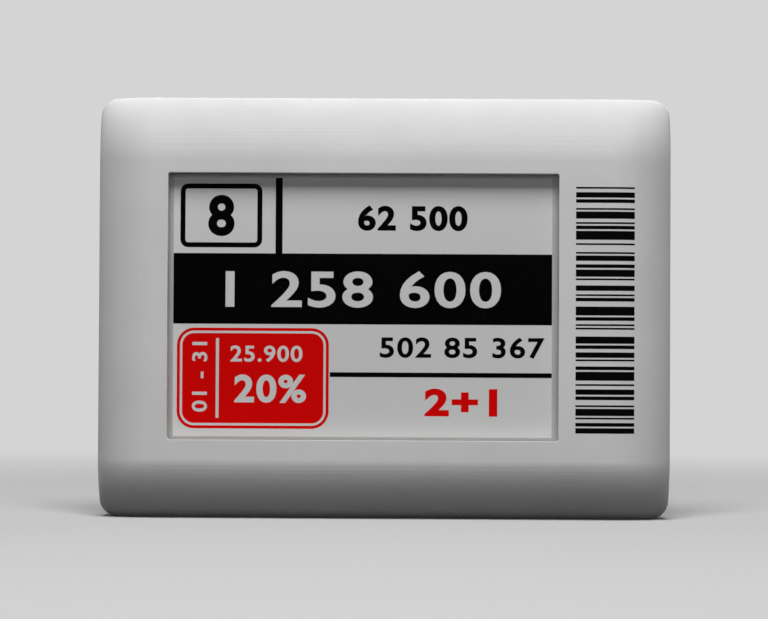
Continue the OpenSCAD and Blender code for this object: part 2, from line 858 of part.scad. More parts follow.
module left_cell_can() { cell_can(-cell_pitch / 2); }
module right_cell_can() { cell_can(cell_pitch / 2); }
module left_cell_cap() { cell_cap(-cell_pitch / 2); }
module right_cell_cap() { cell_cap(cell_pitch / 2); }

module cell_seals() {
    deep = cell_front + cell_t / 2;
    color("darkslategray") at_cells() turned(0, 0) polygon([
        [cap_r, cell_front + cap_rise], [cell_r - can_lip, cell_front + cap_rise],
        [cell_r - can_lip, cell_front + cap_rise + can_t], [cell_r - can_t, cell_front + cap_rise + can_t],
        [cell_r - can_t, deep + seal_t], [cap_r - can_t, deep + seal_t], [cap_r - can_t, deep], [cap_r, deep]
    ]);
}

module cell_fillings() {
    deep = cell_front + cell_t / 2;
    color("black") at_cells() turned(0, 0) polygon([
        [0, cell_front + can_t], [cap_r - can_t, cell_front + can_t], [cap_r - can_t, deep + seal_t],
        [cell_r - can_t, deep + seal_t], [cell_r - can_t, cell_back - can_t], [0, cell_back - can_t]
    ]);
}

front_cover();
rear_cover();
battery_door();
cover_screws();
display_gasket();
protective_film();
ink_film();
display_glass();
driver_chip();
display_flex();
flex_stiffener();
panel_tape();
panel_frame();
board_screws();
main_board();
flex_connector();
connector_latch();
radio_shield();
processor_chip();
crystals();
flash_chip();
boost_inductor();
boost_transistor();
boost_diodes();
ceramic_capacitors();
resistors();
antenna_trace();
debug_pads();
switch_body();
switch_plunger();
wake_button();
cell_cradle();
negative_contacts();
positive_contacts();
left_cell_can();
left_cell_cap();
right_cell_can();
right_cell_cap();
cell_seals();
cell_fillings();
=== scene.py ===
import json
import math

import bmesh
import bpy
from mathutils import Matrix, Vector


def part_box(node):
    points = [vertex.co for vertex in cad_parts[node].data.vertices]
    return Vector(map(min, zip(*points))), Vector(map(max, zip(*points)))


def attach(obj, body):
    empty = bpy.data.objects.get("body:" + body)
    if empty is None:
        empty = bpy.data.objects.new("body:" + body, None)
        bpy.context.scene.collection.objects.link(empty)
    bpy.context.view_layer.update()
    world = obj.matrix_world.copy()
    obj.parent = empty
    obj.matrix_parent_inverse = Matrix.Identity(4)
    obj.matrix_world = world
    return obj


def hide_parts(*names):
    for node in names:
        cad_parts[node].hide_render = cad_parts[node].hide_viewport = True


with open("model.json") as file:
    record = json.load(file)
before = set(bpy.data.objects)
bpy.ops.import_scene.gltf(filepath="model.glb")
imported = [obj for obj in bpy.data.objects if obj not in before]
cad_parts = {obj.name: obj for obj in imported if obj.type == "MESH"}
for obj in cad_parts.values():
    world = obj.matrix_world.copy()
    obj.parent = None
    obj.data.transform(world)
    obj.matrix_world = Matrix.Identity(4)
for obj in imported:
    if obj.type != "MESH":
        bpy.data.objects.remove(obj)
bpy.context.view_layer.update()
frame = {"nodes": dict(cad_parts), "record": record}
mm = 0.001
quarter = math.pi / 2


def deselectAll():
    if bpy.context.mode != "OBJECT":
        bpy.ops.object.mode_set(mode="OBJECT")
    bpy.ops.object.select_all(action="DESELECT")


def makeActive(piece):
    deselectAll()
    piece.select_set(True)
    bpy.context.view_layer.objects.active = piece


def startEdit(piece, mode="VERT"):
    makeActive(piece)
    bpy.ops.object.mode_set(mode="EDIT")
    bpy.ops.mesh.select_mode(type=mode)
    bpy.ops.mesh.select_all(action="DESELECT")
    return bmesh.from_edit_mesh(piece.data)


def endEdit(piece):
    bmesh.update_edit_mesh(piece.data)
    bpy.ops.object.mode_set(mode="OBJECT")


def placeInMesh(piece):
    makeActive(piece)
    bpy.ops.object.transform_apply(location=True, rotation=True, scale=True)


def applyModifier(piece, kind, **values):
    makeActive(piece)
    modifier = piece.modifiers.new(kind.lower(), kind)
    for key, value in values.items():
        setattr(modifier, key, value)
    bpy.ops.object.modifier_apply(modifier=modifier.name)


def combine(piece, tool, how):
    applyModifier(piece, "BOOLEAN", object=tool, operation=how, solver="EXACT")
    bpy.data.objects.remove(tool)
    return piece


def joinAll(pieces, name):
    deselectAll()
    for p in pieces:
        p.select_set(True)
    bpy.context.view_layer.objects.active = pieces[0]
    if len(pieces) > 1:
        bpy.ops.object.join()
    pieces[0].name = name
    pieces[0].data.name = name
    return pieces[0]


def smoothEdges(piece, degrees):
    makeActive(piece)
    bpy.ops.object.shade_smooth_by_angle(angle=math.radians(degrees))
    applyModifier(piece, "WEIGHTED_NORMAL", weight=100, keep_sharp=True)


def pushOut(distance):
    bpy.ops.mesh.extrude_region_move(TRANSFORM_OT_translate={"value": (0, distance, 0)})


def turnOutwards():
    bpy.ops.mesh.select_all(action="SELECT")
    bpy.ops.mesh.normals_make_consistent(inside=False)


# gives a finished piece its name, finish and body, and hides the nodes that it stands for
def fit(piece, name, body, finish, slot, *stands, flat=False):
    placeInMesh(piece)
    if flat:
        bpy.ops.object.shade_flat()
    piece.name = name
    piece.data.name = name
    piece.data.materials.clear()
    piece.data.materials.append(finish)
    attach(piece, body)
    if stands:
        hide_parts(*stands)


# a box seen from the front is (left, right, bottom, top); depths count from the face
def block(name, box, d0, d1, radius=0.0, segments=8):
    left, right, low, high = box
    centre = ((left + right) / 2, case["front"] + (d0 + d1) / 2, (low + high) / 2)
    deselectAll()
    bpy.ops.mesh.primitive_cube_add(size=1, location=centre)
    piece = bpy.context.object
    piece.name = name
    piece.scale = (right - left, d1 - d0, high - low)
    placeInMesh(piece)
    if radius > 0:
        bm = startEdit(piece, "EDGE")
        for e in bm.edges:
            a, b = e.verts[0].co, e.verts[1].co
            e.select_set(abs(a.y - b.y) > (d1 - d0) / 2)
        bmesh.update_edit_mesh(piece.data)
        bpy.ops.mesh.bevel(offset=radius, segments=segments, affect="EDGES")
        endEdit(piece)
    return piece


def rod(name, x, z, d0, d1, radius, sides=48):
    deselectAll()
    bpy.ops.mesh.primitive_cylinder_add(
        vertices=sides, radius=radius, depth=d1 - d0,
        location=(x, case["front"] + (d0 + d1) / 2, z), rotation=(quarter, 0, 0))
    piece = bpy.context.object
    piece.name = name
    placeInMesh(piece)
    return piece


def newFinish(name, colour, roughness, metallic=0.0):
    finish = bpy.data.materials.new(name)
    finish.use_nodes = True
    shader = finish.node_tree.nodes["Principled BSDF"]
    shader.inputs["Base Color"].default_value = (*colour, 1)
    shader.inputs["Roughness"].default_value = roughness
    shader.inputs["Metallic"].default_value = metallic
    return finish, finish.node_tree, shader


def addNode(tree, kind, **values):
    made = tree.nodes.new(kind)
    for key, value in values.items():
        if hasattr(made, key):
            setattr(made, key, value)
        else:
            made.inputs[key.replace("_", " ")].default_value = value
    return made


def objectPlace(tree, scale=(1, 1, 1)):
    place = addNode(tree, "ShaderNodeTexCoord")
    mapping = addNode(tree, "ShaderNodeMapping")
    mapping.inputs["Scale"].default_value = scale
    tree.links.new(place.outputs["Object"], mapping.inputs["Vector"])
    return mapping.outputs["Vector"]


def noiseOf(tree, scale, detail=3.0, roughness=0.5, vector=None):
    made = addNode(tree, "ShaderNodeTexNoise")
    made.inputs["Scale"].default_value = scale
    made.inputs["Detail"].default_value = detail
    made.inputs["Roughness"].default_value = roughness
    tree.links.new(vector or objectPlace(tree), made.inputs["Vector"])
    return made.outputs["Fac"]


def calculate(tree, what, a, b=None, c=None):
    made = addNode(tree, "ShaderNodeMath", operation=what)
    for i, value in enumerate((a, b, c)):
        if value is None:
            continue
        if isinstance(value, (int, float)):
            made.inputs[i].default_value = value
        else:
            tree.links.new(value, made.inputs[i])
    return made.outputs[0]


def spread(tree, value, low, high, lowAt=0.0, highAt=1.0):
    made = addNode(tree, "ShaderNodeMapRange")
    made.inputs["From Min"].default_value = lowAt
    made.inputs["From Max"].default_value = highAt
    made.inputs["To Min"].default_value = low
    made.inputs["To Max"].default_value = high
    tree.links.new(value, made.inputs["Value"])
    return made.outputs["Result"]


def blendColours(tree, factor, first, second):
    made = addNode(tree, "ShaderNodeMix", data_type="RGBA")
    for socket, value in ((made.inputs[6], first), (made.inputs[7], second)):
        if isinstance(value, tuple):
            socket.default_value = (*value, 1)
        else:
            tree.links.new(value, socket)
    if isinstance(factor, (int, float)):
        made.inputs[0].default_value = factor
    else:
        tree.links.new(factor, made.inputs[0])
    return made.outputs[2]


def addBump(tree, shader, height, strength, distance):
    made = addNode(tree, "ShaderNodeBump")
    made.inputs["Strength"].default_value = strength
    made.inputs["Distance"].default_value = distance
    tree.links.new(height, made.inputs["Height"])
    tree.links.new(made.outputs["Normal"], shader.inputs["Normal"])


# the case's printed plastic

printed = {
    "colour": (0.80, 0.80, 0.795),
    "shade": (0.745, 0.745, 0.74),
    "stains": 55,               # how fine the change between the two is
    "roughness": (0.55, 0.72),
    "gloss": 0.35,
    "layer": 0.20 * mm,         # height of a printed layer, measured in the case's depth
    "wobble": 0.03 * mm,        # how far a layer strays from its height
    "raster": 0.46 * mm,        # spacing of the lines on the flat faces
    "lineShare": 0.34,          # how much of the flat faces' relief is lines, and how much is uneven
    "unevenShare": 0.6,
    "flatFrom": (0.993, 0.9995),
    "relief": (0.16, 0.04 * mm),
}


def printedPlastic(name):
    finish, tree, shader = newFinish(name, printed["colour"], printed["roughness"][0])
    shader.inputs["Specular IOR Level"].default_value = printed["gloss"]
    place = addNode(tree, "ShaderNodeTexCoord").outputs["Object"]
    axes = addNode(tree, "ShaderNodeSeparateXYZ")
    tree.links.new(place, axes.inputs[0])
    x, y, z = axes.outputs
    facing = addNode(tree, "ShaderNodeNewGeometry")
    normal = addNode(tree, "ShaderNodeSeparateXYZ")
    tree.links.new(facing.outputs["Normal"], normal.inputs[0])
    flatness = calculate(tree, "ABSOLUTE", normal.outputs[1])
    flat = spread(tree, flatness, 0, 1, *printed["flatFrom"])
    # layers stacked through the depth show as contour lines round the crown
    wobble = noiseOf(tree, 160, 2)
    step = calculate(tree, "MULTIPLY_ADD", wobble, printed["wobble"], y)
    wave = calculate(tree, "SINE", calculate(tree, "MULTIPLY", step, 2 * math.pi / printed["layer"]))
    layers = spread(tree, wave, 0, 1, -1, 1)
    # the top layer is laid down in diagonal lines
    diagonal = calculate(tree, "ADD", x, z)
    along = calculate(tree, "MULTIPLY", diagonal, 2 * math.pi / (printed["raster"] * math.sqrt(2)))
    lines = spread(tree, calculate(tree, "SINE", along), 0, 1, -1, 1)
    uneven = noiseOf(tree, 900, 2)
    lines = calculate(tree, "MULTIPLY", lines, printed["lineShare"])
    lines = calculate(tree, "MULTIPLY_ADD", uneven, printed["unevenShare"], lines)
    height = addNode(tree, "ShaderNodeMix", data_type="FLOAT")
    tree.links.new(flat, height.inputs[0])
    tree.links.new(layers, height.inputs[2])
    tree.links.new(lines, height.inputs[3])
    addBump(tree, shader, height.outputs[0], *printed["relief"])
    stain = spread(tree, noiseOf(tree, printed["stains"], 4, 0.6), 0, 1, 0.42, 0.72)
    tree.links.new(blendColours(tree, stain, printed["colour"], printed["shade"]), shader.inputs["Base Color"])
    tree.links.new(spread(tree, noiseOf(tree, 420, 3), *printed["roughness"]), shader.inputs["Roughness"])
    return finish


def mouldedPlastic(name, colour, roughness=0.5, grain=1400, depth=0.00001):
    finish, tree, shader = newFinish(name, colour, roughness)
    darker = tuple(c * 0.82 for c in colour)
    tree.links.new(blendColours(tree, noiseOf(tree, 90, 4), colour, darker), shader.inputs["Base Color"])
    dull = spread(tree, noiseOf(tree, 300, 3), roughness - 0.08, roughness + 0.1)
    tree.links.new(dull, shader.inputs["Roughness"])
    addBump(tree, shader, noiseOf(tree, grain, 2), 0.35, depth)
    return finish


def rolledMetal(name, colour, roughness=0.28, stretch=(40, 900, 900)):
    finish, tree, shader = newFinish(name, colour, roughness, 1.0)
    brushed = noiseOf(tree, 1.0, 4, 0.6, objectPlace(tree, stretch))
    darker = tuple(c * 0.78 for c in colour)
    tree.links.new(blendColours(tree, brushed, darker, colour), shader.inputs["Base Color"])
    tree.links.new(spread(tree, brushed, roughness - 0.08, roughness + 0.14), shader.inputs["Roughness"])
    addBump(tree, shader, brushed, 0.12, 0.00001)
    return finish


board = {
    "bare": (0.008, 0.085, 0.03),
    "overCopper": (0.02, 0.17, 0.06),
    "roughness": 0.32,
    "lacquer": 0.3,
    "fields": (130, 0, 130),    # fields of traces, flat across the board
    "traces": 75,               # how close the traces lie in a field
}


def boardFinish(name):
    finish, tree, shader = newFinish(name, board["bare"], board["roughness"])
    shader.inputs["Coat Weight"].default_value = board["lacquer"]
    # nested square lines of copper under the lacquer
    fields = addNode(tree, "ShaderNodeTexVoronoi", voronoi_dimensions="3D", distance="CHEBYCHEV")
    fields.inputs["Scale"].default_value = 1.0
    tree.links.new(objectPlace(tree, board["fields"]), fields.inputs["Vector"])
    rings = calculate(tree, "SINE", calculate(tree, "MULTIPLY", fields.outputs["Distance"], board["traces"]))
    traces = spread(tree, rings, 0, 1, 0.25, 0.45)
    patch = spread(tree, noiseOf(tree, 120, 1), 0, 1, 0.5, 0.53)
    shown = calculate(tree, "MULTIPLY", traces, patch)
    colour = blendColours(tree, shown, board["bare"], board["overCopper"])
    tree.links.new(colour, shader.inputs["Base Color"])
    addBump(tree, shader, shown, 0.4, 0.00002)
    return finish


def printInk(name, colour, roughness=0.85, gloss=0.0):
    finish, tree, shader = newFinish(name, colour, roughness)
    shader.inputs["Specular IOR Level"].default_value = gloss
    grain = noiseOf(tree, 5200, 2)
    lighter = tuple(min(1, c * 1.1 + 0.001) for c in colour)
    tree.links.new(blendColours(tree, grain, colour, lighter), shader.inputs["Base Color"])
    return finish


def clearFilm(name):
    finish, tree, shader = newFinish(name, (0.02, 0.02, 0.02), 0.35)
    haze = spread(tree, noiseOf(tree, 700, 2), 0.3, 0.45)
    tree.links.new(haze, shader.inputs["Roughness"])
    shader.inputs["Alpha"].default_value = 0.01
    finish.surface_render_method = "BLENDED"
    return finish


finishes = {
    "case_white": printedPlastic("casePlastic"),
    "screw_steel": rolledMetal("screwSteel", (0.56, 0.56, 0.57), 0.3, (700, 700, 700)),
    "foam_black": mouldedPlastic("foamStrip", (0.03, 0.03, 0.032), 0.9, 2500, 0.00005),
    "clear_film": clearFilm("clearFilm"),
    "paper_film": mouldedPlastic("panelBorder", (0.55, 0.55, 0.545), 0.55, 5200, 0.000004),
    "panel_glass": mouldedPlastic("panelGlass", (0.22, 0.26, 0.28), 0.08, 300, 0.000002),
    "chip_black": mouldedPlastic("chipBlack", (0.022, 0.022, 0.024), 0.42, 3200),
    "flex_amber": mouldedPlastic("cableAmber", (0.42, 0.17, 0.02), 0.3, 500),
    "stiffener_blue": mouldedPlastic("stiffenerBlue", (0.02, 0.09, 0.42), 0.4),
    "tape_white": mouldedPlastic("tapeWhite", (0.72, 0.70, 0.64), 0.7),
    "frame_grey": mouldedPlastic("frameGrey", (0.36, 0.37, 0.38), 0.5),
    "board_green": boardFinish("boardGreen"),
    "connector_ivory": mouldedPlastic("connectorIvory", (0.70, 0.64, 0.50), 0.4),
    "latch_brown": mouldedPlastic("latchBrown", (0.10, 0.05, 0.03), 0.4),
    "shield_steel": rolledMetal("shieldSteel", (0.62, 0.62, 0.60), 0.25),
    "ferrite_grey": mouldedPlastic("ferriteGrey", (0.06, 0.06, 0.065), 0.7),
    "ceramic_tan": mouldedPlastic("ceramicTan", (0.40, 0.27, 0.15), 0.45),
    "resistor_black": mouldedPlastic("resistorBlack", (0.02, 0.02, 0.022), 0.35),
    "board_copper": rolledMetal("boardCopper", (0.72, 0.42, 0.18), 0.35),
    "gold_plate": rolledMetal("goldPlate", (0.86, 0.62, 0.24), 0.25),
    "switch_black": mouldedPlastic("switchBlack", (0.025, 0.025, 0.027), 0.45),
    "button_grey": mouldedPlastic("buttonGrey", (0.32, 0.33, 0.34), 0.45),
    "cradle_black": mouldedPlastic("cradleBlack", (0.035, 0.035, 0.038), 0.55),
    "cell_steel": rolledMetal("cellSteel", (0.72, 0.72, 0.71), 0.26, (260, 260, 5200)),
    "seal_black": mouldedPlastic("sealBlack", (0.03, 0.03, 0.03), 0.5),
    "cell_filling": mouldedPlastic("cellFilling", (0.05, 0.05, 0.05), 0.8),
}
inks = {
    "ground": printInk("pictureGround", (0.75, 0.75, 0.745)),
    "black": printInk("pictureBlack", (0.0008, 0.0008, 0.001)),
    "red": printInk("pictureRed", (0.80, 0.0015, 0.001)),
    "light": printInk("pictureLight", (0.74, 0.74, 0.735)),
    "bars": printInk("barBlack", (0.001, 0.001, 0.0012), 0.8, 0.03),
}
etching = rolledMetal("cellEtching", (0.30, 0.30, 0.295), 0.5, (900, 900, 900))

slotOf = {part["node"]: part["material_slot"] for part in frame["record"]["subparts"]}
for nodeName, node in frame["nodes"].items():
    finish = finishes[slotOf[nodeName]]
    if not node.material_slots:
        node.data.materials.append(finish)
    for s in node.material_slots:
        s.material = finish
print("finishes ready:", len(finishes) + len(inks))


# the front cover, with its crown, window, posts and ribs

case = {
    "width": 87.0 * mm,
    "height": 64.0 * mm,
    "front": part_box("front_cover")[0].y,
    "seam": 11.0 * mm,
    "cornerRadius": 3.0 * mm,
    "wall": 1.8 * mm,
    # the crown's width, fall and power: below 2 it sets in faster than a quarter of an ellipse
    "crown": {
        "side": (8.8 * mm, 6.6 * mm, 1.8),
        "top": (9.9 * mm, 6.6 * mm, 1.8),
        "bottom": (9.0 * mm, 8.0 * mm, 1.57),
    },
    "crownCorner": 1.15,        # how fully the corners fill out; 1 adds both falls up
    "crownSteps": 22,
    "skin": 0.02 * mm,          # the printed bars lie in this depth, so they stay inside the case's box
    "window": (-32.50 * mm, 26.30 * mm, 11.98 * mm, 52.17 * mm),
    "windowRadius": 0.35 * mm,
    "windowEdge": 0.07 * mm,    # rounding of the window's edge on the face
    "windowSteps": 7,
    "hollowRadius": 1.2 * mm,
    "postAt": (37.6 * mm, (5.9 * mm, 58.1 * mm)),
    "postRadius": 2.3 * mm,
    "screwRadius": 1.0 * mm,
    "screwFrom": 5.9 * mm,
    # ribs behind the face that hold the panel's frame: middle line, start and end in mm
    "upright": [(-20.85, 1.0, 7.25), (21.25, 1.0, 7.25), (-20.85, 56.75, 63.0), (21.25, 56.75, 63.0)],
    "level": [(17.45, -42.5, -37.05), (46.55, -42.5, -37.05), (17.45, 37.45, 42.5), (46.55, 37.45, 42.5)],
    "ribHalf": 1.0 * mm,
    "ribBack": 4.5 * mm,
    "smoothBelow": 32,          # degrees
}
over = 1 * mm                   # how far a cutter passes what it cuts


def crownFallAt(distance, inset=0.0, where="side"):
    width, drop, power = case["crown"][where]
    width -= inset
    drop -= inset
    if distance >= width:
        return 0.0
    away = (width - max(distance, 0.0)) / width
    return drop * (1 - (1 - away ** power) ** (1 / power))


def crownStations(low, high, inset, atLow="side", atHigh="side"):
    first, last = case["crown"][atLow][0] - inset, case["crown"][atHigh][0] - inset
    arc = [1 - math.cos(quarter * i / case["crownSteps"]) for i in range(case["crownSteps"] + 1)]
    inner = [low + first + (high - low - first - last) * i / 4 for i in (1, 2, 3)]
    rising, falling = [low + first * a for a in arc], [high - last * a for a in reversed(arc)]
    return [low - over] + rising + inner + falling + [high + over]


# a grid pulled back towards its rim, where the falls of both directions meet
def crownBlock(name, inset):
    half = case["width"] / 2 - inset
    xs = crownStations(-half, half, inset)
    zs = crownStations(inset, case["height"] - inset, inset, "bottom", "top")
    deselectAll()
    bpy.ops.mesh.primitive_grid_add(x_subdivisions=len(xs) - 1, y_subdivisions=len(zs) - 1, size=1)
    piece = bpy.context.object
    piece.name = name
    front = case["front"] + max(inset, case["skin"])
    drop = case["crown"]["bottom"][1] - inset
    for v in piece.data.vertices:
        i = round((v.co.x + 0.5) * (len(xs) - 1))
        j = round((v.co.y + 0.5) * (len(zs) - 1))
        x, z = xs[i], zs[j]
        sides = crownFallAt(half - abs(x), inset)
        ends = max(crownFallAt(z - inset, inset, "bottom"), crownFallAt(case["height"] - inset - z, inset, "top"))
        back = (sides ** case["crownCorner"] + ends ** case["crownCorner"]) ** (1 / case["crownCorner"])
        back += 0.5 * mm * ((i in (0, len(xs) - 1)) + (j in (0, len(zs) - 1)))
        v.co = (x, front + back, z)
    startEdit(piece, "FACE")
    bpy.ops.mesh.select_all(action="SELECT")
    pushOut(2 * drop + 4 * mm)
    bpy.ops.transform.resize(value=(1, 0, 1), center_override=(0, front + 2 * drop + 6 * mm, 0))
    turnOutwards()
    endEdit(piece)
    return piece


def windowCutter():
    left, right, low, high = case["window"]
    edge, skin = case["windowEdge"], case["skin"]
    piece = block("windowCutter", case["window"], skin + edge, case["wall"] + over, case["windowRadius"], 8)
    width, height = right - left, high - low
    centre = ((left + right) / 2, 0, (low + high) / 2)
    bm = startEdit(piece, "FACE")
    for f in bm.faces:
        f.select_set(f.normal.y < -0.9)
    bmesh.update_edit_mesh(piece.data)
    lastDepth, lastGrow = skin + edge, 0.0
    for i in range(1, case["windowSteps"] + 1):
        angle = quarter * i / case["windowSteps"]
        depth = skin + edge * (1 - math.sin(angle))
        grow = edge * (1 - math.cos(angle))
        pushOut(depth - lastDepth)
        factors = ((width + 2 * grow) / (width + 2 * lastGrow), 1, (height + 2 * grow) / (height + 2 * lastGrow))
        bpy.ops.transform.resize(value=factors, center_override=centre)
        lastDepth, lastGrow = depth, grow
    pushOut(-over)
    endEdit(piece)
    return piece


def atPosts():
    reach, heights = case["postAt"]
    return [(side * reach, z) for side in (-1, 1) for z in heights]


def buildFrontCover():
    wide, high = case["width"] / 2, case["height"]
    wall, seam = case["wall"], case["seam"]
    solid = block("frontCover", (-wide, wide, 0, high), -over, seam, case["cornerRadius"], 14)
    combine(solid, crownBlock("outerCrown", 0.0), "INTERSECT")
    inside = (-wide + wall, wide - wall, wall, high - wall)
    hollow = block("hollow", inside, -over, seam + over / 2, case["hollowRadius"], 8)
    combine(hollow, crownBlock("innerCrown", wall), "INTERSECT")
    # what stands in the hollow is taken out of it before it is cut from the cover
    for x, z in atPosts():
        combine(hollow, rod("post", x, z, -2 * over, seam + 2 * over, case["postRadius"]), "DIFFERENCE")
    half = case["ribHalf"]
    ribs = [(x * mm - half, x * mm + half, z0 * mm, z1 * mm) for x, z0, z1 in case["upright"]]
    ribs += [(x0 * mm, x1 * mm, z * mm - half, z * mm + half) for z, x0, x1 in case["level"]]
    for box in ribs:
        combine(hollow, block("rib", box, -2 * over, case["ribBack"]), "DIFFERENCE")
    combine(solid, hollow, "DIFFERENCE")
    for x, z in atPosts():
        combine(solid, rod("bore", x, z, case["screwFrom"], seam + over, case["screwRadius"], 32), "DIFFERENCE")
    combine(solid, windowCutter(), "DIFFERENCE")
    smoothEdges(solid, case["smoothBelow"])
    fit(solid, "frontCover", "case", finishes["case_white"], "case_white", "front_cover")


buildFrontCover()
print("front cover ready")


# printed bars on the face

bars = {
    "left": 28.82 * mm,
    "right": 37.66 * mm,
    "low": 13.22 * mm,
    "high": 50.22 * mm,
    "thickness": 0.015 * mm,
    "steps": 16,                # along a bar, to follow the crown
    # bar and gap widths by turns, from the top down
    "widths": [1, 2, 3, 1, 2, 3, 1, 1, 4, 2, 1, 1, 2, 1, 5, 2, 1, 4, 1, 1, 3, 2, 2, 1, 4, 1, 1, 3, 3, 2, 1, 1,
               2, 3, 5, 1, 2, 2, 1, 1, 1, 4, 4, 1, 2, 2, 3, 1, 1, 3, 2, 1, 5, 2, 1, 2, 3, 1, 2, 3, 1, 1, 4, 1,
               1, 2, 2, 1, 3],
}


def barStrip(low, high):
    deselectAll()
    bpy.ops.mesh.primitive_grid_add(x_subdivisions=bars["steps"], y_subdivisions=1, size=1)
    strip = bpy.context.object
    for v in strip.data.vertices:
        x = bars["left"] + (bars["right"] - bars["left"]) * (v.co.x + 0.5)
        z = low + (high - low) * (v.co.y + 0.5)
        y = case["front"] + case["skin"] + crownFallAt(case["width"] / 2 - x) - bars["thickness"]
        v.co = (x, y, z)
    startEdit(strip, "FACE")
    bpy.ops.mesh.select_all(action="SELECT")
    pushOut(2 * bars["thickness"])
    turnOutwards()
    endEdit(strip)
    return strip


def buildBars():
    unit = (bars["high"] - bars["low"]) / sum(bars["widths"])
    top = bars["high"]
    strips = []
    for i, width in enumerate(bars["widths"]):
        if i % 2 == 0:
            strips.append(barStrip(top - width * unit, top))
        top -= width * unit
    fit(joinAll(strips, "printedBars"), "printedBars", "case", inks["bars"], "case_white", flat=True)


buildBars()
print("printed bars ready:", len(bars["widths"]) // 2 + 1)


# what the display shows

picture = {
    "left": -31.80 * mm,
    "top": 51.53 * mm,
    "width": 57.15 * mm,
    "height": 39.06 * mm,
    "paper": (57.3, 39.3),      # the size in mm that the marks' places count in
    "film": 2.30 * mm,          # depth of the paper's front
    "root": 0.004 * mm,         # how deep a mark reaches into the paper
    "levels": {"ground": 0.006 * mm, "ink": 0.014 * mm, "over": 0.022 * mm},
    "spacing": 1.1,             # room between the figures
    "curveSteps": 5,
    "mergeWithin": 0.002 * mm,
}


def pictureBox(left, top, right, bottom):
    x, z = picture["left"], picture["top"]
    wide, high = picture["width"] / picture["paper"][0], picture["height"] / picture["paper"][1]
    return (x + left * wide, x + right * wide, z - bottom * high, z - top * high)


# a mark of ink from the picture's left, top, right and bottom, in mm from its upper left corner
def inkTile(left, top, right, bottom, level="ink", radius=0.05):
    front, back = picture["film"] - picture["levels"][level], picture["film"] + picture["root"]
    return block("tile", pictureBox(left, top, right, bottom), front, back, radius * mm, 10 if radius > 0.5 else 2)


def inkRing(left, top, right, bottom, radius, width, level="ink"):
    outer = inkTile(left, top, right, bottom, level, radius)
    opening = pictureBox(left + width, top + width, right - width, bottom - width)
    inner = block("inner", opening, picture["film"] - over, picture["film"] + over, (radius - width) * mm, 10)
    return combine(outer, inner, "DIFFERENCE")


def inkNumber(words, left, top, right, bottom, level="ink", weight=0.03, upright=False):
    deselectAll()
    bpy.ops.object.text_add(rotation=(quarter, 0, 0))
    piece = bpy.context.object
    piece.data.body = words
    piece.data.offset = weight
    piece.data.space_character = picture["spacing"]
    piece.data.resolution_u = picture["curveSteps"]
    bpy.ops.object.convert(target="MESH")
    piece = bpy.context.object
    placeInMesh(piece)
    if upright:
        piece.rotation_euler = (0, -quarter, 0)
        placeInMesh(piece)
    xs = [v.co.x for v in piece.data.vertices]
    zs = [v.co.z for v in piece.data.vertices]
    x0, x1, z0, z1 = pictureBox(left, top, right, bottom)
    raised = picture["levels"][level]
    front = case["front"] + picture["film"] - raised
    for v in piece.data.vertices:
        v.co.x = x0 + (v.co.x - min(xs)) / (max(xs) - min(xs)) * (x1 - x0)
        v.co.z = z0 + (v.co.z - min(zs)) / (max(zs) - min(zs)) * (z1 - z0)
        v.co.y = front
    startEdit(piece, "FACE")
    bpy.ops.mesh.select_all(action="SELECT")
    bpy.ops.mesh.remove_doubles(threshold=picture["mergeWithin"])
    pushOut(raised + picture["root"])
    turnOutwards()
    endEdit(piece)
    return piece


def buildPicture():
    wide, high = picture["paper"]
    groundTile = inkTile(0, 0, wide, high, "ground", 0.02)
    fit(groundTile, "pictureGround", "case", inks["ground"], "paper_film", flat=True)
    black = [
        inkTile(0, 11.49, wide, 22.22),
        inkTile(15.42, 0.0, 16.48, 11.6),
        inkTile(23.75, 29.50, wide, 30.22),
        inkRing(1.0, 0.9, 13.4, 10.6, 1.2, 0.75),
        inkNumber("8", 5.2, 2.6, 9.2, 8.9, weight=0.035),
        inkNumber("62 500", 27.9, 4.1, 44.5, 8.0, weight=0.035),
        inkNumber("502 85 367", 31.3, 24.1, 56.2, 27.3, weight=0.022),
    ]
    red = [
        inkTile(0.6, 22.83, 23.6, 38.1, "ink", 2.6),
        inkNumber("2+1", 38.1, 31.9, 49.1, 36.1, weight=0.04),
    ]
    light = [
        inkRing(1.05, 23.28, 23.15, 37.65, 2.15, 0.36, "over"),
        inkTile(6.5, 24.4, 6.95, 36.5, "over", 0.05),
        inkNumber("1 258 600", 7.9, 14.1, 49.6, 19.7, "over", 0.02),
        inkNumber("25.900", 8.7, 25.5, 19.6, 28.0, "over", 0.02),
        inkNumber("20%", 9.3, 29.9, 20.2, 34.2, "over", 0.03),
        inkNumber("01 - 31", 2.9, 25.0, 5.2, 35.6, "over", 0.02, True),
    ]
    for name, tone, marks in (("Black", "black", black), ("Red", "red", red), ("Light", "light", light)):
        fit(joinAll(marks, "picture" + name), "picture" + name, "case", inks[tone], "paper_film", flat=True)


buildPicture()
print("picture ready")


# the coin cells' outer faces, seen when the door is off

cellMarks = {
    "centres": {"left": (-12.75 * mm, 45.5 * mm), "right": (12.75 * mm, 45.5 * mm)},
    "raised": 0.02 * mm,
    "ringRadius": 10.5 * mm,
    "ringWidth": 0.22 * mm,
    "signWidth": 3.8 * mm,
    "signStroke": 0.6 * mm,
    "signRise": 5.0 * mm,       # above the cell's middle
    "signRadius": 0.1 * mm,
}


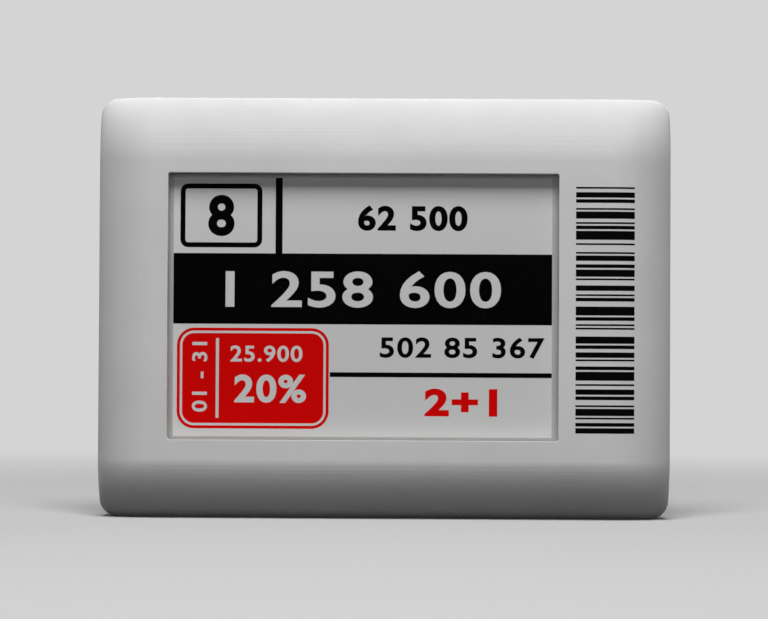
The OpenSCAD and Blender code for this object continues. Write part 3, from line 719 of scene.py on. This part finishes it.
def buildCellMarks():
    half, stroke, corner = cellMarks["signWidth"] / 2, cellMarks["signStroke"] / 2, cellMarks["signRadius"]
    outer, inner = cellMarks["ringRadius"], cellMarks["ringRadius"] - cellMarks["ringWidth"]
    for side, (x, z) in cellMarks["centres"].items():
        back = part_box(side + "_cell_can")[1].y - case["front"]
        d0, d1 = back - cellMarks["raised"], back + cellMarks["raised"]
        ring = rod("ring", x, z, d0, d1, outer, 96)
        combine(ring, rod("inner", x, z, d0 - over, d1 + over, inner, 96), "DIFFERENCE")
        up = z + cellMarks["signRise"]
        sign = block("sign", (x - half, x + half, up - stroke, up + stroke), d0, d1, corner, 3)
        stem = block("stem", (x - stroke, x + stroke, up - half, up + half), d0, d1, corner, 3)
        combine(sign, stem, "UNION")
        fit(joinAll([ring, sign], side + "CellMark"), side + "CellMark", "case", etching, "cell_steel", flat=True)


buildCellMarks()
print("cell marks ready")


# stage, light and camera

studio = {
    "floorColour": 0.80,
    "bounceColour": 0.10,       # what the floor gives back to the object
    "floorSize": (8, 5),
    "backdropAt": 1.60,
    "backdropRise": 2.5,
    "cove": 0.25,               # radius between floor and backdrop
    "coveSteps": 24,
    "backdropTone": 0.66,
    "fadeBetween": (0.10, 0.42),
    # each lamp: angle up from straight in front, turn to the side, distance, size and power
    "lamps": {
        "keyLight": (55.5, 0, 0.60, (0.30, 0.31), 2.95),
        "topRear": (120, 0, 0.60, (0.80, 0.25), 1.32),
        "frontFill": (10, 0, 0.60, (0.40, 0.16), 0.28),
        "rearLeft": (20, -126, 0.58, (0.25, 0.25), 0.46),
        "rearRight": (20, 126, 0.58, (0.25, 0.25), 0.50),
        "backFill": (25, 180, 0.60, (0.40, 0.25), 0.78),
    },
    "ambient": 0.035,
}


def seenDirectly(tree):
    path = addNode(tree, "ShaderNodeLightPath")
    either = calculate(tree, "MAXIMUM", path.outputs["Is Camera Ray"], path.outputs["Is Glossy Ray"])
    return calculate(tree, "MAXIMUM", either, path.outputs["Is Transmission Ray"])


def buildStage():
    pale = (studio["floorColour"],) * 3
    finish, tree, shader = newFinish("stagePaper", pale, 0.9)
    shader.inputs["Specular IOR Level"].default_value = 0.0
    seen = seenDirectly(tree)
    tree.links.new(blendColours(tree, seen, (studio["bounceColour"],) * 3, pale), shader.inputs["Base Color"])
    # away from the object the paper is seen as an even pale tone
    distance = addNode(tree, "ShaderNodeVectorMath", operation="LENGTH")
    tree.links.new(objectPlace(tree), distance.inputs[0])
    far = calculate(tree, "MULTIPLY", seen, spread(tree, distance.outputs["Value"], 0, 1, *studio["fadeBetween"]))
    even = addNode(tree, "ShaderNodeEmission")
    even.inputs["Color"].default_value = (*(studio["backdropTone"],) * 3, 1)
    mixed = addNode(tree, "ShaderNodeMixShader")
    tree.links.new(far, mixed.inputs[0])
    tree.links.new(shader.outputs[0], mixed.inputs[1])
    tree.links.new(even.outputs[0], mixed.inputs[2])
    tree.links.new(mixed.outputs[0], tree.nodes["Material Output"].inputs["Surface"])
    deselectAll()
    bpy.ops.mesh.primitive_plane_add(size=1, location=(0, 0, 0))
    floor = bpy.context.object
    wide, deep = studio["floorSize"]
    floor.scale = (wide, deep, 1)
    floor.location = (0, studio["backdropAt"] - deep / 2, 0)
    placeInMesh(floor)
    bm = startEdit(floor, "EDGE")
    for e in bm.edges:
        e.select_set(all(v.co.y > studio["backdropAt"] - 0.01 for v in e.verts))
    bmesh.update_edit_mesh(floor.data)
    middle = (0, studio["backdropAt"], studio["cove"])
    bpy.ops.mesh.spin(steps=studio["coveSteps"], angle=quarter, center=middle, axis=(1, 0, 0))
    bpy.ops.mesh.extrude_region_move(TRANSFORM_OT_translate={"value": (0, 0, studio["backdropRise"])})
    endEdit(floor)
    bpy.ops.object.shade_smooth()
    floor.name = "studioFloor"
    floor.data.materials.append(finish)
    world = bpy.data.worlds.new("studio")
    bpy.context.scene.world = world
    world.use_nodes = True
    background = world.node_tree.nodes["Background"]
    seen = seenDirectly(world.node_tree)
    colour = blendColours(world.node_tree, seen, (studio["ambient"],) * 3, (studio["backdropTone"],) * 3)
    world.node_tree.links.new(colour, background.inputs["Color"])


def addLamp(name, place, centre, size, power):
    data = bpy.data.lights.new(name, "AREA")
    data.shape = "RECTANGLE"
    data.size, data.size_y = size
    data.energy = power
    lamp = bpy.data.objects.new(name, data)
    bpy.context.scene.collection.objects.link(lamp)
    lamp.location = place
    lamp.rotation_euler = (lamp.location - centre).to_track_quat("Z", "Y").to_euler()


def buildLight():
    centre = Vector((0, case["front"], case["height"] / 2))
    for name, (rise, turn, distance, size, power) in studio["lamps"].items():
        up, side = math.radians(rise), math.radians(turn)
        towards = Vector((math.sin(side) * math.cos(up), -math.cos(side) * math.cos(up), math.sin(up)))
        addLamp(name, centre + towards * distance, centre, size, power)


camera = {
    "yaw": math.radians(0.82),
    "pitch": math.radians(-1.37),
    "roll": math.radians(0.30),
    "distance": 0.450,
    "target": (0.056 * mm, -7.5 * mm, 31.66 * mm),
    "focalPixels": 2997.55,
    "imageWidth": 768,
    "sensorWidth": 36,
    "clip": (0.01, 20),
}


def buildCamera():
    data = bpy.data.cameras.new("camera")
    data.sensor_fit = "HORIZONTAL"
    data.sensor_width = camera["sensorWidth"]
    data.lens = camera["focalPixels"] * camera["sensorWidth"] / camera["imageWidth"]
    data.clip_start, data.clip_end = camera["clip"]
    viewer = bpy.data.objects.new("camera", data)
    bpy.context.scene.collection.objects.link(viewer)
    yaw, pitch, roll = camera["yaw"], camera["pitch"], camera["roll"]
    back = Vector((math.sin(yaw) * math.cos(pitch), -math.cos(yaw) * math.cos(pitch), math.sin(pitch)))
    right = Vector((math.cos(yaw), math.sin(yaw), 0))
    up = back.cross(right)
    turnedRight = right * math.cos(roll) + up * math.sin(roll)
    turnedUp = up * math.cos(roll) - right * math.sin(roll)
    place = Vector(camera["target"]) + back * camera["distance"]
    matrix = Matrix((turnedRight, turnedUp, back)).transposed().to_4x4()
    matrix.translation = place
    viewer.matrix_world = matrix
    bpy.context.scene.camera = viewer


buildStage()
buildLight()
buildCamera()
bpy.context.scene.view_settings.view_transform = "Standard"
print("stage ready")
